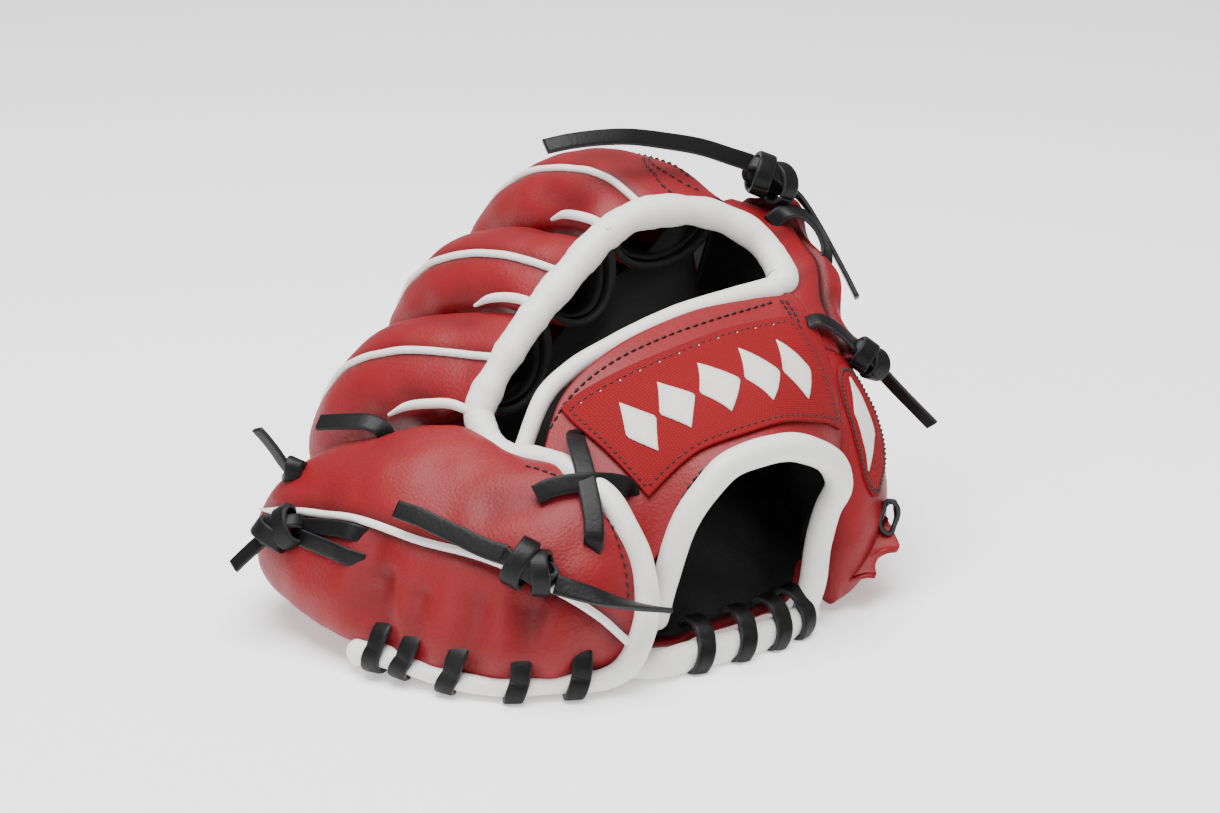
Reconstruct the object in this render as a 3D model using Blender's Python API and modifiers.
"""Left-hand baseball fielder's glove, resting palm down, built piece by piece.

+X is the thumb side, +Y the way the fingers point, +Z up. Millimetres are
turned to metres as each mesh is made, with the origin under the glove.
"""
import math

import bmesh
import bpy
import numpy as np

# Driving dimensions, in millimetres.
MM = 0.001
GLOVE_CENTRE = (6.8, 88.1, 1.3)
LEATHER = 2.6
LINING = 1.6
PAD = 2.4
SKIN_GAP = 0.5
LINER_GAP = 5.0
LINER_END = 0.78
ROLL_RADIUS = 5.4
WRIST_ROLL_RADIUS = 4.3
PANEL_ROLL_RADIUS = 3.2
STRAP_ROLL_RADIUS = 3.0
WELT_RADIUS = 1.3
LACE_RADIUS = 1.5
WHIP_RADIUS = 1.1
WHIP_SWING = 0.8
WHIP_MIDDLE = 0.4
AROUND = 16
BELLY_TAPER = 0.16
FOOT_FLAT = 0.7

# Guide curves of the five stalls. Each has a left and a right edge, seen from
# the back of the hand, and how far the crown stands out and the belly in.
STALLS = {
    "index": {
        "left": [(29, 94, 119), (29, 112, 119), (28, 132, 115), (28, 152, 107), (28, 166, 93), (28, 173, 77)],
        "right": [(80, 94, 124), (80, 112, 127), (79, 132, 124), (78, 154, 116), (76, 171, 101), (74, 181, 83)],
        "crown": [11, 15, 17, 17, 15, 13],
        "belly": [17, 19, 19, 18, 16, 14],
    },
    "middle": {
        "left": [(-1, 92, 99), (-4, 112, 97), (-8, 132, 91), (-11, 149, 82), (-13, 159, 71), (-14, 165, 56)],
        "right": [(27, 93, 117), (26, 112, 116), (26, 132, 112), (26, 151, 104), (26, 164, 91), (26, 171, 75)],
        "crown": [6, 10, 12, 13, 12, 11],
        "belly": [17, 19, 19, 18, 16, 14],
    },
    "ring": {
        "left": [(-33, 90, 73), (-40, 109, 67), (-46, 126, 60), (-51, 140, 51), (-53, 149, 39), (-53, 154, 27)],
        "right": [(-3, 92, 97), (-6, 112, 94), (-10, 131, 88), (-13, 147, 80), (-15, 157, 69), (-16, 163, 54)],
        "crown": [6, 10, 13, 14, 13, 12],
        "belly": [17, 19, 19, 18, 16, 14],
    },
    "pinky": {
        "left": [(-37, 9, 8), (-54, 13, 8), (-69, 21, 8), (-82, 41, 8), (-90, 62, 9), (-94, 84, 11),
                 (-95, 106, 13), (-92, 126, 15), (-88, 142, 19)],
        "right": [(-29, 8, 15), (-27, 11, 33), (-28, 19, 51), (-29, 38, 63), (-34, 64, 63), (-38, 86, 67),
                  (-46, 106, 61), (-57, 125, 53), (-66, 140, 40)],
        "crown": [3, 7, 11, 14, 17, 19, 19, 17, 14],
        "belly": [3, 7, 11, 14, 16, 17, 17, 15, 12],
    },
    "thumb": {
        "left": [(54, 8, 14), (63, 13, 44), (72, 28, 70), (79, 50, 88), (85, 72, 90), (87, 92, 78),
                 (89, 112, 60), (91, 128, 42)],
        "right": [(56, 7, 5), (70, 16, 3), (84, 32, 2), (94, 55, 2), (101, 78, 2), (104, 98, 3),
                  (104, 116, 6), (102, 132, 11)],
        "crown": [3, 12, 19, 21, 20, 17, 15, 12],
        "belly": [3, 9, 13, 14, 15, 15, 13, 11],
    },
}
ROWS = {"index": 10, "middle": 10, "ring": 10, "pinky": 15, "thumb": 14}
# The inner walls of the two long stalls are open towards the hand: from where
# to where round the stall, and how far along it.
HAND_GAP = {"pinky": (0.6, 0.9, 0.5), "thumb": (0.6, 0.9, 0.44)}
TIP_START = {"index": 0.80, "middle": 0.80, "ring": 0.80, "pinky": 0.84, "thumb": 0.82}

COLOURS = {
    "red_leather": ((0.42, 0.028, 0.034), 0.45),
    "black_leather": ((0.012, 0.012, 0.013), 0.55),
    "white_leather": ((0.80, 0.79, 0.77), 0.5),
    "rawhide": ((0.016, 0.016, 0.017), 0.42),
    "felt": ((0.35, 0.30, 0.24), 0.9),
    "patch_cloth": ((0.45, 0.02, 0.03), 0.8),
}


def unit(vectors):
    return vectors / np.linalg.norm(vectors, axis=-1, keepdims=True)


def smooth(points, t):
    """Catmull-Rom curve through the points, at positions t from 0 to 1."""
    p = np.asarray(points, float)
    if p.ndim == 1:
        p = p[:, None]
    p = np.vstack([2 * p[0] - p[1], p, 2 * p[-1] - p[-2]])
    x = np.clip(np.asarray(t, float), 0, 1) * (len(p) - 3)
    i = np.minimum(x.astype(int), len(p) - 4)
    f = (x - i)[..., None]
    a, b, c, d = p[i], p[i + 1], p[i + 2], p[i + 3]
    return 0.5 * (2 * b + (c - a) * f + (2 * a - 5 * b + 4 * c - d) * f**2 + (3 * b - a - 3 * c + d) * f**3)


def stall_surface(name, around, along, inset=0.0):
    """Points round a stall: around 0 is its left edge, 0.25 its crown, 0.5 its right edge."""
    guide = STALLS[name]
    left = smooth(guide["left"], along)
    right = smooth(guide["right"], along)
    step = 0.01
    ahead = smooth(guide["left"], along + step) + smooth(guide["right"], along + step)
    behind = smooth(guide["left"], along - step) + smooth(guide["right"], along - step)
    chord = unit(right - left)
    out = unit(np.cross(chord, unit(ahead - behind)))
    tip = np.clip((along - TIP_START[name]) / (1 - TIP_START[name]), 0, 1)
    shrink = np.sqrt(np.maximum(1 - tip**2, 0))[:, None]
    half = np.linalg.norm(right - left, axis=1)[:, None] / 2 * shrink - inset
    crown = smooth(guide["crown"], along) * shrink - inset
    belly = smooth(guide["belly"], along) * shrink - inset
    angle = 2 * math.pi * around
    side = -np.cos(angle)
    rise = np.sin(angle)
    side = np.where(rise < 0, side * (1 + BELLY_TAPER * rise), side)
    depth = np.where(rise >= 0, crown, belly)
    centre = ((left + right) / 2)[:, None, :]
    return centre + chord[:, None, :] * (half * side)[..., None] + out[:, None, :] * (depth * rise)[..., None]


def stall_line(name, around, start, end, count, lift):
    """A line along a stall at one place round it, lifted off the leather."""
    along = np.linspace(start, end, count)
    on = stall_surface(name, np.array([around]), along)[:, 0]
    off = stall_surface(name, np.array([around]), along, -1.0)[:, 0]
    return on + unit(off - on) * lift


def patch_points(net, columns, rows, lift=0.0):
    """A smooth sheet through a net of points, optionally moved along its normals."""
    across = np.array([smooth(row, np.linspace(0, 1, columns)) for row in net])
    grid = np.array([smooth(across[:, k], np.linspace(0, 1, rows)) for k in range(columns)])
    grid = grid.transpose(1, 0, 2)
    if lift:
        normal = unit(np.cross(np.gradient(grid, axis=0), np.gradient(grid, axis=1)))
        grid = grid + normal * lift
    return grid


def material(name):
    if name in bpy.data.materials:
        return bpy.data.materials[name]
    colour, rough = COLOURS[name]
    made = bpy.data.materials.new(name)
    made.use_nodes = True
    shader = made.node_tree.nodes["Principled BSDF"]
    shader.inputs["Base Color"].default_value = (*colour, 1)
    shader.inputs["Roughness"].default_value = rough
    return made


def finish(obj, finish_name):
    obj.data.materials.append(material(finish_name))
    GLOVE.objects.link(obj)
    return obj


def grid_object(name, grid, finish_name, closed=False, pole=None, gap=None):
    """An open sheet of quads from a grid of points, closed round and at its far end if asked.

    Quads that gap marks are left out, so the sheet has an opening there.
    """
    rows, columns = grid.shape[:2]
    points = (grid.reshape(-1, 3) - GLOVE_CENTRE) * MM
    faces = []
    last = columns if closed else columns - 1
    for r in range(rows - 1):
        for c in range(last):
            if gap is not None and gap[r, c]:
                continue
            d = (c + 1) % columns
            faces.append((r * columns + c, r * columns + d, (r + 1) * columns + d, (r + 1) * columns + c))
    if pole is not None:
        points = np.vstack([points, (np.asarray(pole) - GLOVE_CENTRE) * MM])
        base = (rows - 1) * columns
        faces += [(base + c, base + (c + 1) % columns, rows * columns) for c in range(columns)]
    mesh = bpy.data.meshes.new(name)
    mesh.from_pydata(points.tolist(), [], faces)
    mesh.shade_smooth()
    return finish(bpy.data.objects.new(name, mesh), finish_name)


def thicken(obj, thickness, offset):
    wall = obj.modifiers.new("wall", "SOLIDIFY")
    wall.thickness = thickness * MM
    wall.offset = offset
    return obj


def stall_shell(name, node, finish_name, start, around, rows):
    """One hollow leather stall: open where the finger goes in, closed at the tip."""
    along = np.linspace(start, 1.0, rows + 1)
    along[-2] = (along[-3] + 2 * along[-1]) / 3
    grid = stall_surface(name, np.arange(around) / around, along[:-1])
    pole = stall_surface(name, np.array([0.0]), along[-1:])[0, 0]
    low, high, reach = HAND_GAP.get(name, (1.0, 1.0, 0.0))
    middle = (np.arange(around) + 0.5) / around
    gap = (along[1:-1, None] < reach) & (middle > low) & (middle < high)
    return thicken(grid_object(node, grid, finish_name, closed=True, pole=pole, gap=gap), LEATHER, -1)


def stall_liner(name, node, finish_name, start, around, rows):
    """The soft sleeve inside a stall, a little shorter than it, with a flat closed end."""
    along = np.linspace(start, LINER_END, rows)
    grid = stall_surface(name, np.arange(around) / around, along, LINER_GAP)
    return thicken(grid_object(node, grid, finish_name, closed=True, pole=grid[-1].mean(axis=0)), LINING, -1)


def sheet(name, net, columns, rows, thickness, finish_name, lift=0.0):
    """A leather sheet through a net of points, thickened evenly about it."""
    return thicken(grid_object(name, patch_points(net, columns, rows, lift), finish_name), thickness, 0)


def tube(name, points, radius, finish_name, count=None, cyclic=False, corners=2):
    """A round roll, welt or lace along a smooth line through the points."""
    points = np.asarray(points, float)
    if count:
        points = smooth(points, np.linspace(0, 1, count))
    curve = bpy.data.curves.new(name, "CURVE")
    curve.dimensions = "3D"
    spline = curve.splines.new("POLY")
    spline.points.add(len(points) - 1)
    place = (points - GLOVE_CENTRE) * MM
    spline.points.foreach_set("co", np.hstack([place, np.ones((len(place), 1))]).ravel())
    spline.use_cyclic_u = cyclic
    curve.bevel_depth = radius * MM
    curve.bevel_resolution = corners
    curve.use_fill_caps = not cyclic
    return finish(bpy.data.objects.new(name, curve), finish_name)


def make_stalls():
    for name in STALLS:
        long_stall = name in ("pinky", "thumb")
        stall_shell(name, name + "_stall", "red_leather", 0.07 if long_stall else 0.0, AROUND, ROWS[name])
        stall_liner(name, name + "_liner", "black_leather", 0.5 if long_stall else 0.05, 12, 7)


PALM_NET = [
    [(-13, 12, 6), (0, 11, 7), (15, 10, 7), (28, 10, 7), (38, 12, 6)],
    [(-26, 36, 14), (-8, 40, 34), (15, 42, 42), (36, 42, 38), (52, 40, 26)],
    [(-31, 64, 24), (-16, 70, 42), (10, 76, 58), (38, 76, 61), (60, 72, 50)],
    [(-28, 84, 28), (-14, 88, 46), (10, 90, 69), (38, 90, 82), (66, 90, 78)],
]
GUSSET_NET = [
    [(41, 13, 6), (45, 14, 7)],
    [(54, 40, 26), (59, 38, 25)],
    [(62, 71, 50), (67, 67, 48)],
    [(68, 89, 76), (74, 87, 70)],
]


def make_palm():
    sheet("palm_shell", PALM_NET, 9, 9, LEATHER, "red_leather")
    sheet("palm_pad", [row[1:4] for row in PALM_NET[1:]], 6, 7, PAD, "felt", -4.6)
    sheet("palm_lining", PALM_NET, 9, 9, LINING, "black_leather", -7.6)
    sheet("palm_crease", GUSSET_NET, 3, 8, LEATHER, "red_leather")


STRAP_NET = [
    [(-13, 56, 72), (-4, 59, 82), (15, 61, 89), (45, 61, 94), (74, 58, 95)],
    [(-15, 40, 62), (-3, 42, 75), (17, 42, 84), (45, 42, 90), (72, 40, 86)],
    [(-17, 24, 50), (-2, 26, 66), (18, 26, 75), (44, 26, 80), (66, 24, 70)],
    [(-14, 12, 32), (-6, 11, 48), (13, 10, 61), (36, 9, 66), (57, 11, 56)],
]
STRAP_EDGE = [(-17, 63, 73), (-6, 65, 82), (15, 67, 88), (45, 67, 93), (76, 64, 94)]
KNUCKLE_LINE = [(-22, 54, 67), (-29, 66, 70), (-32, 76, 74), (-27, 84, 80), (-15, 86, 92), (0, 86, 106),
                (16, 86, 118), (38, 86, 129), (64, 86, 131), (84, 82, 121), (92, 74, 108), (86, 65, 100)]
WRIST_LINE = [(-17, 4, 9), (-15, 3, 26), (-9, 2, 42), (1, 2, 55), (15, 2, 63), (32, 2, 66), (47, 4, 60),
              (54, 5, 46), (50, 2, 27), (43, 0, 10)]
HEEL_HEIGHT = GLOVE_CENTRE[2] + PANEL_ROLL_RADIUS - FOOT_FLAT
HEEL_LINE = [(-14, 0, HEEL_HEIGHT), (4, -1, HEEL_HEIGHT), (20, -1.5, HEEL_HEIGHT), (36, -1, HEEL_HEIGHT)]
BRIDGE_NET = [
    [(88, 96, 117), (94, 97, 123), (100, 98, 123)],
    [(99, 86, 109), (105, 86, 115), (110, 87, 112)],
    [(101, 71, 101), (107, 70, 105), (112, 69, 101)],
    [(93, 57, 97), (101, 55, 95), (107, 54, 88)],
]
WEB_NET = [
    [(86, 101, 115), (96, 99, 104), (93, 100, 88)],
    [(86, 120, 116), (99, 114, 98), (96, 112, 76)],
    [(84, 144, 113), (99, 134, 92), (98, 127, 62)],
    [(82, 166, 102), (97, 152, 84), (99, 139, 48)],
]


def make_back():
    sheet("wrist_strap", STRAP_NET, 11, 8, LEATHER, "red_leather")
    sheet("strap_lining", STRAP_NET, 11, 8, LINING, "black_leather", -3.0)
    cloth = patch_points(STRAP_NET, 21, 21, 2.4)[3:17:2, 5:19:2]
    thicken(grid_object("strap_patch", cloth, "patch_cloth"), 1.2, 0)
    tube("strap_roll", STRAP_EDGE, STRAP_ROLL_RADIUS, "white_leather", 12)
    tube("knuckle_roll", KNUCKLE_LINE, ROLL_RADIUS, "white_leather", 26)
    tube("wrist_roll", WRIST_LINE, WRIST_ROLL_RADIUS, "white_leather", 20)
    flatten_foot(tube("heel_roll", HEEL_LINE, PANEL_ROLL_RADIUS, "white_leather", 8))


PANEL_CORNER = [(-48, 6, 6), (-38, 1, 8), (-30, 0, 17), (-25, 4, 30)]
WELTS = {"index": (0.185, 0.78), "middle": (0.22, 0.78), "ring": (0.25, 0.72), "pinky": (0.245, 0.86),
         "thumb": (0.2, 0.88)}
CROTCHES = {"index_middle": [(27.5, 94, 127), (27, 104, 128), (26.5, 115, 127)],
            "middle_ring": [(-3, 92, 107), (-5.5, 103, 106), (-8, 114, 104)],
            "ring_pinky": [(-37, 92, 79.5), (-44, 102, 76), (-50, 112, 71)]}
WEB_TAIL_LONG = [(97, 94, 134), (90, 97, 137), (78, 100, 142), (64, 103, 146), (51, 106, 149), (40, 109, 150),
                 (29, 112, 150), (20, 115, 149)]
WEB_TAIL_SHORT = [(110, 88, 124), (114, 85, 119), (117, 80, 111), (119, 74, 102), (120, 68, 94), (120, 62, 87)]
PINKY_TAIL_UPPER = [(-66, 29, 48), (-69, 36, 49), (-72, 44, 51), (-75, 52, 53), (-78, 59, 55), (-81, 67, 56)]
PINKY_TAIL_LOWER = [(-60, 12, 42), (-55, 7, 40), (-48, 2, 37), (-38, -2, 33), (-28, -6, 30)]


def make_trim():
    lift = WELT_RADIUS + SKIN_GAP
    for name, (around, end) in WELTS.items():
        start = {"pinky": 0.16, "thumb": 0.5}.get(name, 0.03)
        tube(name + "_welt", stall_line(name, around, start, end, 14, lift), WELT_RADIUS, "white_leather")
    for name, line in CROTCHES.items():
        tube(name + "_crotch_welt", line, WELT_RADIUS, "white_leather", 6)
    lift = PANEL_ROLL_RADIUS + 2 * SKIN_GAP
    edge = stall_line("pinky", 0.5, 0.15, 0.42, 12, lift)
    bottom = stall_line("pinky", 0.0, 0.15, 0.56, 14, lift)
    corner = smooth([bottom[0], *PANEL_CORNER, edge[0]], np.linspace(0, 1, 9)[1:-1])
    tube("panel_roll", np.vstack([bottom[::-1], corner, edge]), PANEL_ROLL_RADIUS, "white_leather")


def flatten_foot(obj):
    """Turn a roll into a mesh whose underside is cut to one flat face on the ground plane."""
    mesh = bpy.data.meshes.new_from_object(obj.evaluated_get(bpy.context.evaluated_depsgraph_get()))
    mesh.name = obj.name
    shape = bmesh.new()
    shape.from_mesh(mesh)
    bmesh.ops.remove_doubles(shape, verts=shape.verts, dist=MM / 100)
    everything = [*shape.verts, *shape.edges, *shape.faces]
    cut = bmesh.ops.bisect_plane(shape, geom=everything, plane_co=(0, 0, 0), plane_no=(0, 0, -1),
                                 clear_outer=True)["geom_cut"]
    bmesh.ops.contextual_create(shape, geom=[part for part in cut if isinstance(part, bmesh.types.BMEdge)])
    bmesh.ops.recalc_face_normals(shape, faces=shape.faces)
    shape.to_mesh(mesh)
    shape.free()
    solid = bpy.data.objects.new(obj.name + "_flat", mesh)
    name = obj.name
    GLOVE.objects.link(solid)
    bpy.data.objects.remove(obj, do_unlink=True)
    solid.name = name


def whipping(core, out, radius, turns):
    """A lace laid to and fro over the outer side of a roll, from stitch to stitch."""
    t = np.linspace(0, 1, turns * 8 + 1)
    line = smooth(core, t)
    ahead = unit(smooth(core, t + 0.01) - smooth(core, t - 0.01))
    out = unit(np.asarray(out, float) - ahead * (ahead * out).sum(axis=1, keepdims=True))
    up = np.cross(ahead, out)
    up = up * np.sign(up[:, 2:])
    swing = WHIP_MIDDLE + WHIP_SWING * np.sin(2 * math.pi * turns * t)
    return line + radius * (np.cos(swing)[:, None] * out + np.sin(swing)[:, None] * up)


def knot(name, centre, size):
    """A leather knot as a plain rounded block."""
    shape = bmesh.new()
    bmesh.ops.create_uvsphere(shape, u_segments=12, v_segments=8, radius=1.0)
    bmesh.ops.scale(shape, vec=[s * MM for s in size], verts=shape.verts)
    bmesh.ops.translate(shape, vec=[(c - g) * MM for c, g in zip(centre, GLOVE_CENTRE)], verts=shape.verts)
    mesh = bpy.data.meshes.new(name)
    shape.to_mesh(mesh)
    shape.free()
    mesh.shade_smooth()
    return finish(bpy.data.objects.new(name, mesh), "rawhide")


def make_laces():
    reach = PANEL_ROLL_RADIUS + 1.5 * SKIN_GAP + WHIP_RADIUS
    tube("heel_lace", whipping(HEEL_LINE, (0, -1, 0.25), reach, 4), WHIP_RADIUS, "rawhide")
    bottom = stall_line("pinky", 0.0, 0.19, 0.5, 12, PANEL_ROLL_RADIUS + 2 * SKIN_GAP)
    tube("panel_lace", whipping(bottom, (-0.75, -0.62, -0.12), reach, 5), WHIP_RADIUS, "rawhide")
    tube("strap_lace_upright", [(-21, 48, 75), (-28, 38, 74), (-36, 26, 66), (-42, 15, 53)], LACE_RADIUS, "rawhide", 8)
    tube("strap_lace_cross", [(-50, 38, 72), (-38, 28, 76), (-26, 22, 74), (-14, 20, 67)], LACE_RADIUS, "rawhide", 8)
    knot("pinky_knot", (-64, 20, 47), (6, 4.6, 4.6))
    tube("pinky_tail_upper", PINKY_TAIL_UPPER, LACE_RADIUS, "rawhide", 16)
    tube("pinky_tail_lower", PINKY_TAIL_LOWER, LACE_RADIUS, "rawhide", 16)
    lift = LACE_RADIUS + SKIN_GAP
    tube("finger_lace", stall_line("pinky", 0.21, 0.66, 0.8, 8, lift), LACE_RADIUS, "rawhide")
    spot = stall_line("pinky", 0.21, 0.83, 0.86, 2, 6.0)[0]
    knot("finger_knot", spot, (5, 6, 5))
    knot("web_knot", (103, 91, 128), (6, 6, 5))
    tube("web_tail_long", WEB_TAIL_LONG, LACE_RADIUS, "rawhide", 24)
    tube("web_tail_short", WEB_TAIL_SHORT, LACE_RADIUS, "rawhide", 16)
    spot = stall_line("thumb", 0.1, 0.42, 0.5, 2, 5.5)[0]
    knot("thumb_knot", spot, (5, 5, 5))
    edge = patch_points(WEB_NET, 6, 9, 4.2)
    tube("web_lace_index", edge[:, 0], LACE_RADIUS, "rawhide", 14)
    tube("web_lace_thumb", edge[:, -1], LACE_RADIUS, "rawhide", 14)


def make_web():
    sheet("index_thumb_bridge", BRIDGE_NET, 5, 8, LEATHER, "red_leather")
    sheet("web_panel", WEB_NET, 6, 9, LEATHER, "red_leather")


def thumb_patch():
    turn = np.linspace(0, 2 * math.pi, 16, endpoint=False)
    rings = []
    for size in (1.0, 0.6, 0.25):
        spots = [stall_surface("thumb", np.array([0.22 + 0.09 * size * math.cos(a)]),
                               np.array([0.36 + 0.09 * size * math.sin(a)]), -1.2)[0, 0] for a in turn]
        rings.append(spots)
    middle = stall_surface("thumb", np.array([0.22]), np.array([0.36]), -1.2)[0, 0]
    patch = grid_object("thumb_patch", np.array(rings), "patch_cloth", closed=True, pole=middle)
    thicken(patch, 1.2, 0)


GLOVE = bpy.data.collections.new("fielders_glove")
for old in list(bpy.data.objects):
    bpy.data.objects.remove(old, do_unlink=True)
bpy.context.scene.collection.children.link(GLOVE)
make_stalls()
make_palm()
make_back()
make_trim()
make_web()
thumb_patch()
make_laces()
